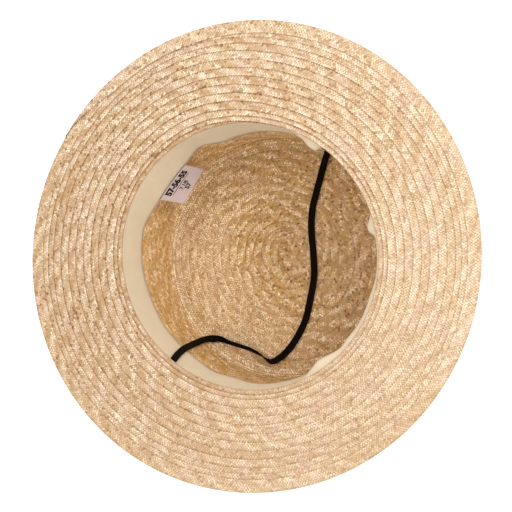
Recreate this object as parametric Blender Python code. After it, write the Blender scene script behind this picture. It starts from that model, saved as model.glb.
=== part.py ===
"""Straw boater hat, lying on its crown top with the head opening up.

Metres, +Z up. The origin is on the surface that the hat rests on, under the middle of the crown top.
-Y is the front of the hat. +Y is its back, where the sweatband carries its label. The elastic is fixed at the two
sides, -X and +X. Every ring of the hat is an oval round the origin, given by its full width (X) and length (Y).
"""

import math

import bpy
import bmesh
import numpy as np

# Driving dimensions

# Head opening, measured at the innermost edge of the straw
OPENING_WIDTH = 0.1786
OPENING_LENGTH = 0.1842

# Brim, and how far its outer edge waves up and down
BRIM_WIDTH = 0.3214
BRIM_LENGTH = 0.3185
BRIM_WAVE = 0.0018

# Crown: height from the surface to the brim's lower face, the inward draw of its wall, its outer corner radius
CROWN_HEIGHT = 0.0880
CROWN_TAPER = 0.0080
CORNER_RADIUS = 0.0090

# Straw: sewn wall, the step of each row over the next one, and the width of a row that stays bare
STRAW_THICKNESS = 0.0020
ROW_RELIEF = 0.0006
ROW_PITCH = 0.0061

# How far the brim's innermost row laps in over the top of the crown wall and the sweatband
BRIM_LAP = 0.0034

# Sweatband
BAND_HEIGHT = 0.0340
BAND_THICKNESS = 0.0012
BAND_LEAN = 0.0050

# Label: length along the band, height, thickness, place below the brim, the angle that it stands off the band at its
# two ends and the angle by which it slants along the band
LABEL_LENGTH = 0.0322
LABEL_HEIGHT = 0.0190
LABEL_THICKNESS = 0.0008
LABEL_TOP_DEPTH = 0.0320
LABEL_MIDDLE_DEG = 89.6
LABEL_TILT_START_DEG = 21.0
LABEL_TILT_END_DEG = 44.0
LABEL_SLANT_DEG = 15.0

# Elastic: a flat strip
ELASTIC_WIDTH = 0.0050
ELASTIC_THICKNESS = 0.0010
ELASTIC_POINTS = 52

# Clearance between pieces that touch
SEAT_GAP = 0.0003

# Facets
SIDES = 52
CORNER_STEPS = 4
BAND_STEPS = 3
LABEL_STEPS_ALONG = 8
LABEL_STEPS_DOWN = 4
ROUTE_STEPS = 16
SHARP_EDGE_DEG = 35.0

# Rows of the brim from its outer edge to the opening: share of the brim's breadth that each leaves bare
BRIM_ROWS = (
    0.130, 0.058, 0.060, 0.085, 0.086, 0.086, 0.086, 0.086, 0.086, 0.085, 0.064, 0.044, 0.044,
)

# Deep edge of the sweatband: angle from +X in degrees, depth and inward lean as shares of BAND_HEIGHT and BAND_LEAN
BAND_EDGE_COLUMNS = ("angle", "depth", "lean")
BAND_EDGE = (
    (0, 1.00, 0.10),
    (20, 1.03, 0.10),
    (35, 1.00, 0.30),
    (48, 1.02, 0.60),
    (58, 1.03, 0.90),
    (68, 0.88, 0.20),
    (75, 1.00, 0.48),
    (79, 1.00, 0.86),
    (90, 1.00, 1.02),
    (100, 1.00, 0.90),
    (107, 1.00, 0.48),
    (115, 0.93, 0.05),
    (128, 0.95, 0.05),
    (150, 1.03, 0.10),
    (165, 1.02, 0.10),
    (182, 1.02, 0.30),
    (195, 0.99, 0.05),
    (202, 1.04, 0.35),
    (214, 1.02, 0.10),
    (232, 1.02, 0.50),
    (248, 1.00, 1.00),
    (258, 1.00, 0.60),
    (275, 1.00, 0.20),
    (300, 0.98, 0.10),
    (330, 1.02, 0.15),
)
LEAN_EXPONENT = 1.5

# Route of the elastic's middle line: x, y, z, and how far its width is turned, in degrees: 0 lies flat, 90 stands on edge
ELASTIC_ROUTE = (
    (-0.0896, -0.0010, 0.0860, 0),
    (-0.0878, 0.0024, 0.0725, 0),
    (-0.0854, 0.0050, 0.0575, 0),
    (-0.0853, 0.0072, 0.0420, 0),
    (-0.0846, 0.0088, 0.0260, 0),
    (-0.0832, 0.0094, 0.0140, 0),
    (-0.0803, 0.0072, 0.0064, 0),
    (-0.0761, 0.0012, 0.0048, 30),
    (-0.0738, -0.0056, 0.0054, 58),
    (-0.0709, -0.0127, 0.0056, 62),
    (-0.0679, -0.0205, 0.0056, 66),
    (-0.0661, -0.0280, 0.0057, 74),
    (-0.0656, -0.0345, 0.0057, 96),
    (-0.0644, -0.0392, 0.0053, 140),
    (-0.0598, -0.0417, 0.0042, 168),
    (-0.0531, -0.0432, 0.0035, 178),
    (-0.0440, -0.0434, 0.0034, 180),
    (-0.0345, -0.0422, 0.0033, 180),
    (-0.0240, -0.0396, 0.0033, 180),
    (-0.0112, -0.0336, 0.0033, 180),
    (0.0030, -0.0260, 0.0033, 180),
    (0.0146, -0.0164, 0.0033, 180),
    (0.0281, -0.0038, 0.0033, 180),
    (0.0399, 0.0046, 0.0033, 180),
    (0.0493, 0.0090, 0.0033, 180),
    (0.0614, 0.0141, 0.0033, 180),
    (0.0703, 0.0177, 0.0036, 180),
    (0.0762, 0.0192, 0.0060, 180),
    (0.0805, 0.0190, 0.0120, 180),
    (0.0830, 0.0178, 0.0220, 180),
    (0.0848, 0.0148, 0.0370, 180),
    (0.0854, 0.0115, 0.0510, 180),
    (0.0863, 0.0080, 0.0620, 180),
    (0.0882, 0.0045, 0.0750, 180),
    (0.0896, 0.0015, 0.0860, 180),
)

STATIONS = np.linspace(0.0, 2.0 * math.pi, SIDES, endpoint=False)


# Sizes that follow from the driving dimensions

def wall_offset(height):
    """Offset of the crown wall's inner face from the opening oval at a height above the surface."""
    drop = (CROWN_HEIGHT - height) / (CROWN_HEIGHT - CORNER_RADIUS)
    return BRIM_LAP - CROWN_TAPER * drop


def column(table, columns, name):
    """One named column of a table as an array."""
    return np.array([row[columns.index(name)] for row in table], dtype=float)


def around_band(name, angles):
    """A column of the sweatband's edge table, read all the way round the hat."""
    places = column(BAND_EDGE, BAND_EDGE_COLUMNS, "angle")
    return np.interp(np.degrees(angles) % 360.0, places, column(BAND_EDGE, BAND_EDGE_COLUMNS, name), period=360.0)


def band_offset(angles, depth):
    """Offset of the sweatband's outer face from the opening oval, at a depth below the brim's lower face."""
    lean = BAND_LEAN * around_band("lean", angles) * np.clip(depth / BAND_HEIGHT, 0.0, None) ** LEAN_EXPONENT
    return wall_offset(CROWN_HEIGHT - depth) - SEAT_GAP - lean


# Mesh helpers

def oval(offset, height, angles=STATIONS):
    """Points of an oval that runs at an offset outside the opening."""
    points = np.empty((len(angles), 3))
    points[:, 0] = (OPENING_WIDTH / 2 + offset) * np.cos(angles)
    points[:, 1] = (OPENING_LENGTH / 2 + offset) * np.sin(angles)
    points[:, 2] = height
    return points


def join_rings(bm, lower, upper):
    """Faces between two closed rings with the same number of vertices."""
    count = len(lower)
    for i in range(count):
        j = (i + 1) % count
        bm.faces.new((lower[i], lower[j], upper[j], upper[i]))


def close_with_pole(bm, ring, height):
    """Closes a ring with triangles that meet on the hat's axis."""
    pole = bm.verts.new((0.0, 0.0, height))
    count = len(ring)
    for i in range(count):
        bm.faces.new((ring[i], ring[(i + 1) % count], pole))


def finish_object(name, bm, material):
    """Turns a closed bmesh into a named object with its own material."""
    bmesh.ops.recalc_face_normals(bm, faces=bm.faces)
    mesh = bpy.data.meshes.new(name)
    bm.to_mesh(mesh)
    bm.free()
    mesh.shade_smooth()
    mesh.set_sharp_from_angle(angle=math.radians(SHARP_EDGE_DEG))
    mesh.materials.append(material)
    obj = bpy.data.objects.new(name, mesh)
    bpy.context.scene.collection.objects.link(obj)
    return obj


def make_ring_object(name, rings, material, poles=None):
    """A turned body from a list of rings: a closed loop of them, or with the ends closed at two pole heights."""
    bm = bmesh.new()
    loops = [[bm.verts.new(point) for point in ring] for ring in rings]
    for lower, upper in zip(loops, loops[1:]):
        join_rings(bm, lower, upper)
    if poles is None:
        join_rings(bm, loops[-1], loops[0])
    else:
        close_with_pole(bm, loops[0], poles[0])
        close_with_pole(bm, loops[-1], poles[1])
    return finish_object(name, bm, material)


def make_material(name, colour, roughness):
    """A plain Principled material."""
    material = bpy.data.materials.new(name)
    material.use_nodes = True
    shader = material.node_tree.nodes["Principled BSDF"]
    shader.inputs["Base Color"].default_value = (*colour, 1.0)
    shader.inputs["Roughness"].default_value = roughness
    shader.inputs["Metallic"].default_value = 0.0
    material.diffuse_color = (*colour, 1.0)
    return material


# Sub-parts

def brim_ring(share, height):
    """A ring of the brim: share 0 is the opening's edge, 1 is the outer edge, which waves twice round the hat."""
    width = OPENING_WIDTH + share * (BRIM_WIDTH - OPENING_WIDTH)
    length = OPENING_LENGTH + share * (BRIM_LENGTH - OPENING_LENGTH)
    points = np.empty((SIDES, 3))
    points[:, 0] = width / 2 * np.cos(STATIONS)
    points[:, 1] = length / 2 * np.sin(STATIONS)
    points[:, 2] = height + BRIM_WAVE * share ** 2 * np.cos(2.0 * STATIONS)
    return points


def make_brim(material):
    """Flat ring whose upper face steps down from row to row, each row lapping over the next one inwards."""
    lower = CROWN_HEIGHT
    upper = CROWN_HEIGHT + STRAW_THICKNESS
    rings = [brim_ring(0.0, lower), brim_ring(0.5, lower), brim_ring(1.0, lower), brim_ring(1.0, upper)]
    share = 1.0
    for bare in BRIM_ROWS[:-1]:
        share -= bare / sum(BRIM_ROWS)
        rings += [brim_ring(share, upper + ROW_RELIEF), brim_ring(share, upper)]
    rings.append(brim_ring(0.0, upper + ROW_RELIEF))
    return make_ring_object("brim", rings, material)


def make_crown_side(material):
    """Upright wall between the tip's corner and the brim, stepped outside, each row lapping over the one above."""
    low = CORNER_RADIUS + SEAT_GAP
    high = CROWN_HEIGHT - SEAT_GAP
    rows = max(2, round((high - low) / ROW_PITCH))
    heights = np.linspace(low, high, rows + 1)
    rings = [oval(wall_offset(high), high), oval(wall_offset(low), low)]
    for bottom, top in zip(heights, heights[1:]):
        rings += [
            oval(wall_offset(bottom) + STRAW_THICKNESS, bottom),
            oval(wall_offset(top) + STRAW_THICKNESS + ROW_RELIEF, top),
        ]
    return make_ring_object("crown_side", rings, material)


def make_crown_tip(material):
    """Flat crown top with a rounded rim, stepped on its inner face by the rounds of plait."""
    rim = wall_offset(CORNER_RADIUS) + STRAW_THICKNESS
    flat = rim - CORNER_RADIUS
    inner_radius = CORNER_RADIUS - STRAW_THICKNESS
    turns = [math.pi / 2 * step / CORNER_STEPS for step in range(CORNER_STEPS + 1)]
    rings = [oval(flat + CORNER_RADIUS * math.sin(a), CORNER_RADIUS * (1 - math.cos(a))) for a in turns]
    rings += [oval(flat + inner_radius * math.sin(a), CORNER_RADIUS - inner_radius * math.cos(a)) for a in turns[::-1]]
    rounds = max(3, round((OPENING_WIDTH / 2 + flat) / ROW_PITCH))
    edge = oval(flat, 0.0)
    for step in range(rounds - 1, 0, -1):
        share = step / rounds
        for height in (STRAW_THICKNESS + ROW_RELIEF, STRAW_THICKNESS):
            rings.append(edge * (share, share, 0.0) + (0.0, 0.0, height))
    return make_ring_object("crown_tip", rings, material, poles=(0.0, STRAW_THICKNESS))


def make_sweatband(material):
    """Thin band inside the opening; its deep edge waves and leans in off the wall."""
    top_depth = SEAT_GAP
    bottom_depth = BAND_HEIGHT * around_band("depth", STATIONS)
    outer = []
    for step in range(BAND_STEPS + 1):
        depth = top_depth + (bottom_depth - top_depth) * step / BAND_STEPS
        outer.append((band_offset(STATIONS, depth), CROWN_HEIGHT - depth))
    rings = [oval(offset, height) for offset, height in outer]
    rings += [oval(offset - BAND_THICKNESS, height) for offset, height in outer[::-1]]
    return make_ring_object("sweatband", rings, material)


def make_label(material):
    """Small panel along the back of the sweatband, fixed at its upper edge and standing off it below."""
    along = np.linspace(-0.5, 0.5, LABEL_STEPS_ALONG + 1)
    middle = math.radians(LABEL_MIDDLE_DEG)
    radius = (OPENING_WIDTH + OPENING_LENGTH) / 4 + band_offset(middle, LABEL_TOP_DEPTH)
    angles = middle + along * LABEL_LENGTH / radius
    tilt = np.radians(LABEL_TILT_START_DEG + (LABEL_TILT_END_DEG - LABEL_TILT_START_DEG) * (along + 0.5))
    slant = math.radians(LABEL_SLANT_DEG)
    start = band_offset(angles, LABEL_TOP_DEPTH) - BAND_THICKNESS - SEAT_GAP
    bm = bmesh.new()
    faces = []
    for side in (0.0, LABEL_THICKNESS):
        grid = []
        for step in range(LABEL_STEPS_DOWN + 1):
            run = LABEL_HEIGHT * step / LABEL_STEPS_DOWN
            down = run * math.cos(slant)
            offset = start - down * np.sin(tilt) - side * np.cos(tilt)
            height = CROWN_HEIGHT - LABEL_TOP_DEPTH - down * np.cos(tilt) + side * np.sin(tilt)
            grid.append([bm.verts.new(point) for point in oval(offset, height, angles - run * math.sin(slant) / radius)])
        faces.append(grid)
        for upper, lower in zip(grid, grid[1:]):
            for i in range(LABEL_STEPS_ALONG):
                bm.faces.new((upper[i], upper[i + 1], lower[i + 1], lower[i]))
    back, front = [
        grid[0] + [row[-1] for row in grid[1:]] + grid[-1][-2::-1] + [row[0] for row in grid[-2:0:-1]] for grid in faces
    ]
    join_rings(bm, back, front)
    return finish_object("label", bm, material)


def smooth_route(rows, count):
    """Points at even steps along a Catmull-Rom curve through the rows, each read as a set of columns."""
    knots = np.array(rows, dtype=float)
    padded = np.vstack([2 * knots[0] - knots[1], knots, 2 * knots[-1] - knots[-2]])
    fine = []
    for a, b, c, d in zip(padded, padded[1:], padded[2:], padded[3:]):
        t = np.linspace(0.0, 1.0, ROUTE_STEPS, endpoint=False)[:, None]
        fine.append(0.5 * (2 * b + (c - a) * t + (2 * a - 5 * b + 4 * c - d) * t ** 2 + (3 * b - a - 3 * c + d) * t ** 3))
    fine = np.vstack(fine + [knots[-1:]])
    run = np.concatenate([[0.0], np.cumsum(np.linalg.norm(np.diff(fine[:, :3], axis=0), axis=1))])
    even = np.linspace(0.0, run[-1], count)
    return np.stack([np.interp(even, run, fine[:, k]) for k in range(fine.shape[1])], axis=1)


def strip_tilts(points):
    """Tilt of a strip at each point, for a curve whose width points upwards at no tilt.

    The strip lies flat on the tip while it is low and flat against the wall above, with the turn of its route added.
    """
    along = np.gradient(points[:, :3], axis=0)
    along /= np.linalg.norm(along, axis=1, keepdims=True)
    up = np.array([0.0, 0.0, 1.0])
    inward = -points[:, :3] * (1.0, 1.0, 0.0)
    inward /= np.linalg.norm(inward, axis=1, keepdims=True)
    climb = np.clip(points[:, 2] / CORNER_RADIUS - 0.5, 0.0, 1.0)[:, None]
    normal = up * (1.0 - climb) + inward * climb
    flat = np.cross(along, normal)
    upright = up - along * (along @ up)[:, None]
    sideways = np.cross(along, upright)
    angle = np.arctan2((flat * sideways).sum(axis=1), (flat * upright).sum(axis=1))
    return np.unwrap(angle) + np.radians(points[:, 3])


def make_elastic(material):
    """Flat strip along its route: a curve extruded to its width with a round bevel for its thickness."""
    points = smooth_route(ELASTIC_ROUTE, ELASTIC_POINTS)
    curve = bpy.data.curves.new("elastic", "CURVE")
    curve.dimensions = "3D"
    curve.twist_mode = "Z_UP"
    curve.fill_mode = "FULL"
    curve.bevel_depth = ELASTIC_THICKNESS / 2
    curve.bevel_resolution = 2
    curve.extrude = (ELASTIC_WIDTH - ELASTIC_THICKNESS) / 2
    curve.use_fill_caps = True
    spline = curve.splines.new("POLY")
    spline.points.add(len(points) - 1)
    for target, place, tilt in zip(spline.points, points, strip_tilts(points)):
        target.co = (*place[:3], 1.0)
        target.tilt = tilt
    curve.materials.append(material)
    obj = bpy.data.objects.new("elastic", curve)
    bpy.context.scene.collection.objects.link(obj)
    return obj


def main():
    """Builds every sub-part in an empty scene."""
    for obj in list(bpy.data.objects):
        bpy.data.objects.remove(obj, do_unlink=True)
    make_brim(make_material("brim_straw", (0.80, 0.62, 0.40), 0.65))
    make_crown_side(make_material("side_straw", (0.74, 0.55, 0.33), 0.65))
    make_crown_tip(make_material("tip_straw", (0.72, 0.53, 0.31), 0.65))
    make_sweatband(make_material("band_cloth", (0.76, 0.66, 0.50), 0.80))
    make_label(make_material("label_cloth", (0.72, 0.62, 0.58), 0.70))
    make_elastic(make_material("elastic_cloth", (0.010, 0.008, 0.009), 0.75))


main()
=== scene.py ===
"""Looks of a straw boater hat that lies on its crown top with its head opening up.

Metres, +Z up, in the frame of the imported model: the origin is on the surface under the middle of the
crown top, -Y is the front of the hat and +Y its back. The straw is one long plait of split straws, sewn
round and round so that each row laps over the next one in. Every surface is worked out as whole arrays.
"""

import logging
import math
from dataclasses import dataclass
from enum import Enum

import bpy
import numpy as np
from mathutils import Matrix, Vector


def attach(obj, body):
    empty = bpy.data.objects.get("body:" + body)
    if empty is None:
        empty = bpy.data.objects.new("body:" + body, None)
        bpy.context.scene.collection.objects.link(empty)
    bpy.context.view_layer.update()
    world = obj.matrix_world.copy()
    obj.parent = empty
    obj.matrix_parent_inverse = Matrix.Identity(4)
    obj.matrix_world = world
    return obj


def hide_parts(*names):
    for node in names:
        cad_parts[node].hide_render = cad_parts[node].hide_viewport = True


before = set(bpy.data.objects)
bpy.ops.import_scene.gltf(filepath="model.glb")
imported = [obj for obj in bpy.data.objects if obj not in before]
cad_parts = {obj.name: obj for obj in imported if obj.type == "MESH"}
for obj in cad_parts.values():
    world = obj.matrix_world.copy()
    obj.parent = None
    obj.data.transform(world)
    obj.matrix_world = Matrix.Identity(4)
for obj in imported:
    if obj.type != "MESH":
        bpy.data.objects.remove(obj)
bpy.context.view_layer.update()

LOG = logging.getLogger("boater")
FULL_TURN = 2.0 * math.pi
Array = np.ndarray


class Face(Enum):
    """The two faces of the sewn straw."""

    INNER = 1.0
    OUTER = -1.0


# Shader graph


class Value:
    """A number socket in a shader graph; arithmetic on it adds Math nodes."""

    def __init__(self, graph: "Graph", socket: bpy.types.NodeSocket) -> None:
        """Wraps one output socket of a graph."""
        self.graph = graph
        self.socket = socket

    def maths(self, operation: str, *operands: "Value | float") -> "Value":
        """Adds one Math node and returns its result."""
        return self.graph.output("ShaderNodeMath", {"operation": operation}, dict(enumerate(operands)))

    def __add__(self, other: "Value | float") -> "Value":
        """Sum."""
        return self.maths("ADD", self, other)

    def __sub__(self, other: "Value | float") -> "Value":
        """Difference."""
        return self.maths("SUBTRACT", self, other)

    def __rsub__(self, other: float) -> "Value":
        """Difference with a number on the left."""
        return self.maths("SUBTRACT", other, self)

    def __mul__(self, other: "Value | float") -> "Value":
        """Product."""
        return self.maths("MULTIPLY", self, other)

    __radd__ = __add__
    __rmul__ = __mul__

    def sine(self) -> "Value":
        """Sine of the value in radians."""
        return self.maths("SINE", self)

    def clamp(self) -> "Value":
        """The value held between 0 and 1."""
        return self.graph.output("ShaderNodeClamp", {}, {"Value": self})


class Graph:
    """A material's node graph round one Principled shader."""

    def __init__(self, name: str) -> None:
        """Starts a material of that name with an empty Principled shader."""
        self.material = bpy.data.materials.new(name)
        self.material.use_nodes = True
        self.nodes = self.material.node_tree.nodes
        self.links = self.material.node_tree.links
        self.shader = self.nodes["Principled BSDF"]

    def connect(self, socket: bpy.types.NodeSocket, entry: object) -> None:
        """Links a wrapped socket to an input, or sets the input to a plain value."""
        if isinstance(entry, Value):
            self.links.new(entry.socket, socket)
        else:
            socket.default_value = entry

    def node(self, kind: str, settings: dict[str, object],
             sockets: dict[str | int, object]) -> bpy.types.Node:
        """Adds one node.

        Args:
            kind: the node's type.
            settings: attributes of the node, set first.
            sockets: plain values or wrapped sockets for its inputs, by name or number.

        Returns:
            The new node.
        """
        node = self.nodes.new(kind)
        for key, setting in settings.items():
            setattr(node, key, setting)
        for key, entry in sockets.items():
            self.connect(node.inputs[key], entry)
        return node

    def output(self, kind: str, settings: dict[str, object], sockets: dict[str | int, object],
               out: str | int = 0) -> Value:
        """Adds one node and returns one of its outputs."""
        return Value(self, self.node(kind, settings, sockets).outputs[out])

    def attribute(self, name: str, out: str = "Fac") -> Value:
        """Reads an attribute of the mesh."""
        return self.output("ShaderNodeAttribute", {"attribute_name": name}, {}, out)

    def noise(self, vector: Value, scale: float, detail: float) -> Value:
        """A noise pattern between 0 and 1 on a vector."""
        sockets = {"Vector": vector, "Scale": scale, "Detail": detail}
        return self.output("ShaderNodeTexNoise", {}, sockets, "Fac")

    def cloud(self, scale: float, detail: float) -> Value:
        """A noise pattern between 0 and 1 on the object's own coordinates."""
        return self.noise(self.output("ShaderNodeTexCoord", {}, {}, "Object"), scale, detail)

    def blend(self, share: "Value | float", first: object, second: object, mode: str = "MIX") -> Value:
        """Mixes two colours by a share."""
        settings = {"data_type": "RGBA", "blend_type": mode, "clamp_factor": True}
        return self.output("ShaderNodeMix", settings, {0: share, 6: first, 7: second}, 2)

    def bump(self, height: Value, strength: float, distance: float) -> Value:
        """Turns a height pattern into a bent normal."""
        sockets = {"Strength": strength, "Distance": distance, "Height": height}
        return self.output("ShaderNodeBump", {}, sockets)

    def feed(self, **inputs: object) -> None:
        """Sets inputs of the shader, each by its name with underscores for spaces."""
        for key, entry in inputs.items():
            self.connect(self.shader.inputs[key.replace("_", " ")], entry)


Colour = tuple[float, float, float]


def rgba(colour: Colour) -> tuple[float, float, float, float]:
    """A colour with full opacity."""
    return (*colour, 1.0)


# Finishes


@dataclass(frozen=True)
class StrawFinish:
    """Split straw: satin, streaked along its fibres, each straw its own tone."""

    name: str
    golden: Colour
    cream: Colour
    pink: Colour
    roughness: float = 0.46
    roughness_swing: float = 0.25
    shine: float = 0.5
    streaks: float = 0.50
    flecks: float = 0.9
    patch_scale: float = 55.0
    patch_contrast: float = 2.6
    pinkness: float = 0.45
    warmth: tuple[float, float] = (0.25, 0.50)
    grain: float = 0.6
    grain_depth: float = 0.00008

    def material(self) -> bpy.types.Material:
        """Builds the material.

        Returns:
            A material that reads the straw meshes' attributes: tone; shade, each straw's own brightness
            together with painted light and painted shade; fibre; gap, which is the distance to the covering
            row over the groove's breadth; and the groove's painted shade, which is how dark the straw is
            where gap is 0.
            Shadows lose green and blue by the warmth's two shares.
        """
        graph = Graph(self.name)
        tone = graph.attribute("tone")
        shade = graph.attribute("shade")
        fibre = graph.attribute("fibre", "Vector")
        streak = graph.noise(fibre, 1.0, 2.0)
        patch = graph.cloud(self.patch_scale, 1.0)
        flecked = (tone + self.flecks * (streak - 0.5)).clamp()
        straw = graph.blend(flecked, rgba(self.golden), rgba(self.cream))
        pink_share = (patch * self.patch_contrast - 1.0).clamp() * self.pinkness
        tinted = graph.blend(pink_share, straw, rgba(self.pink))
        # Painted shade: the straw is darkened along a line beside the covering row, where its lip shades it
        line = (1.0 - graph.attribute("gap")).clamp()
        painted_shade = 1.0 - graph.attribute("groove") * line * line
        light = shade * painted_shade * (1.0 + self.streaks * (streak - 0.5))
        dark = 1.0 - light
        levels = {0: light, 1: light - self.warmth[0] * dark, 2: light - self.warmth[1] * dark}
        shading = graph.output("ShaderNodeCombineColor", {}, levels)
        graph.feed(
            Base_Color=graph.blend(1.0, tinted, shading, "MULTIPLY"),
            Roughness=(self.roughness + self.roughness_swing * (streak - 0.5)).clamp(),
            Normal=graph.bump(streak, self.grain, self.grain_depth),
            Specular_IOR_Level=self.shine,
        )
        return graph.material


@dataclass(frozen=True)
class ClothFinish:
    """Plain woven cloth: two crossing sets of threads in the piece's own UV map."""

    name: str
    colour: Colour
    threads: tuple[float, float]
    unevenness: float = 0.06
    cloud_scale: float = 90.0
    roughness: float = 0.82
    roughness_swing: float = 0.1
    sheen: float = 0.15
    sheen_roughness: float = 0.5
    shine: float = 0.2
    relief: float = 0.5
    depth: float = 0.00012

    def material(self) -> bpy.types.Material:
        """Builds the material.

        Returns:
            A material whose weave is the product of two sine waves, one along u and one along v.
        """
        graph = Graph(self.name)
        chart = graph.output("ShaderNodeUVMap", {}, {})
        parts = graph.node("ShaderNodeSeparateXYZ", {}, {"Vector": chart})
        along = Value(graph, parts.outputs[0])
        across = Value(graph, parts.outputs[1])
        warp = (along * (self.threads[0] * FULL_TURN)).sine()
        weft = (across * (self.threads[1] * FULL_TURN)).sine()
        weave = warp * weft * 0.5 + 0.5
        cloud = graph.cloud(self.cloud_scale, 3.0)
        light = 1.0 + self.unevenness * ((cloud - 0.5) * 2.0 + (weave - 0.5))
        grey = graph.output("ShaderNodeCombineColor", {}, {0: light, 1: light, 2: light})
        graph.feed(
            Base_Color=graph.blend(1.0, rgba(self.colour), grey, "MULTIPLY"),
            Roughness=(self.roughness + self.roughness_swing * (cloud - 0.5)).clamp(),
            Normal=graph.bump(weave, self.relief, self.depth),
            Sheen_Weight=self.sheen,
            Sheen_Roughness=self.sheen_roughness,
            Specular_IOR_Level=self.shine,
        )
        return graph.material


@dataclass(frozen=True)
class FloorFinish:
    """Plain pale floor, lit a little from below as a light table is."""

    name: str = "pale_floor"
    colour: Colour = (0.95, 0.95, 0.95)
    glow: float = 0.30
    roughness: float = 0.9
    shine: float = 0.1

    def material(self) -> bpy.types.Material:
        """Builds the material."""
        graph = Graph(self.name)
        graph.feed(
            Base_Color=rgba(self.colour),
            Roughness=self.roughness,
            Specular_IOR_Level=self.shine,
            Emission_Color=rgba(self.colour),
            Emission_Strength=self.glow,
        )
        return graph.material


# Mesh helpers


def add_object(name: str, data: bpy.types.ID) -> bpy.types.Object:
    """Adds an object with that data to the scene, at the origin."""
    obj = bpy.data.objects.new(name, data)
    bpy.context.scene.collection.objects.link(obj)
    return obj


def make_mesh(name: str, points: Array, faces: Array, finish: bpy.types.Material,
              attributes: dict[str, Array] | None = None, uv: Array | None = None) -> bpy.types.Object:
    """Puts arrays of points and quads into a smooth mesh object at the origin.

    Args:
        name: name of the piece.
        points: vertex places, one row each.
        faces: vertex numbers, four a row.
        finish: material of the piece.
        attributes: values a vertex, either numbers or vectors, by name.
        uv: map coordinates a vertex.

    Returns:
        The new object, linked to the scene.
    """
    mesh = bpy.data.meshes.new(name)
    mesh.vertices.add(len(points))
    mesh.vertices.foreach_set("co", np.asarray(points, np.float32).ravel())
    mesh.loops.add(faces.size)
    mesh.loops.foreach_set("vertex_index", np.asarray(faces, np.int32).ravel())
    mesh.polygons.add(len(faces))
    mesh.polygons.foreach_set("loop_start", np.arange(0, faces.size, faces.shape[1], dtype=np.int32))
    mesh.update(calc_edges=True)
    mesh.validate()
    mesh.shade_smooth()
    for key, values in (attributes or {}).items():
        flat = values.ndim == 1
        layer = mesh.attributes.new(key, "FLOAT" if flat else "FLOAT_VECTOR", "POINT")
        layer.data.foreach_set("value" if flat else "vector", np.asarray(values, np.float32).ravel())
    if uv is not None:
        layer = mesh.uv_layers.new(name="chart")
        layer.data.foreach_set("uv", np.asarray(uv, np.float32)[np.asarray(faces).ravel()].ravel())
    mesh.materials.append(finish)
    return add_object(name, mesh)


def grid_faces(rows: int, columns: int, close_rows: bool = False, close_columns: bool = False) -> Array:
    """Quads of a grid of vertices in row order, either direction closed into a ring if asked."""
    last_row = rows if close_rows else rows - 1
    last_column = columns if close_columns else columns - 1
    i, j = np.meshgrid(np.arange(last_row), np.arange(last_column), indexing="ij")
    i_next, j_next = (i + 1) % rows, (j + 1) % columns
    corners = (i * columns + j, i_next * columns + j, i_next * columns + j_next, i * columns + j_next)
    return np.stack(corners, axis=-1).reshape(-1, 4)


def even_lips(length: float, pitch: float) -> Array:
    """Lips of rows of one breadth, from the outer end in, as near the pitch as whole rows allow."""
    rows = round(length / pitch)
    return length * (1.0 - np.arange(1, rows + 1) / rows)


def path_run(points: Array) -> Array:
    """Distance of each point of a path from its first, as the sum of the straight steps between."""
    steps = np.linalg.norm(np.diff(points, axis=0), axis=1)
    return np.concatenate([[0.0], np.cumsum(steps)])


def ease(share: Array) -> Array:
    """Smooth step from 0 to 1: three times the share's square less twice its cube."""
    held = np.clip(share, 0.0, 1.0)
    return held * held * (3.0 - 2.0 * held)


# Form of the hat


@dataclass(frozen=True)
class HatForm:
    """Driving sizes of the hat."""

    opening_width: float = 0.1786
    opening_length: float = 0.1842
    brim_width: float = 0.3214
    brim_length: float = 0.3185
    brim_wave: float = 0.0018
    crown_height: float = 0.0880
    crown_taper: float = 0.0080
    corner_radius: float = 0.0090
    straw_thickness: float = 0.0020
    row_pitch: float = 0.0061
    middle: float = 0.0013
    brim_lap: float = 0.0034
    seat_gap: float = 0.0003

    @property
    def opening_radius(self) -> float:
        """Mean radius of the head opening."""
        return (self.opening_width + self.opening_length) / 4

    def wall_offset(self, height: Array) -> Array:
        """Offset of the wall's inner face from the opening: a straight taper down to the corner."""
        drop = (self.crown_height - height) / (self.crown_height - self.corner_radius)
        return self.brim_lap - self.crown_taper * drop

    def oval(self, offset: Array, height: Array, angles: Array) -> Array:
        """Points of an oval: half the opening's width or length plus the offset, by cosine and sine."""
        x = (self.opening_width / 2 + offset) * np.cos(angles)
        y = (self.opening_length / 2 + offset) * np.sin(angles)
        return np.stack(np.broadcast_arrays(x, y, height), axis=-1)


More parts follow.
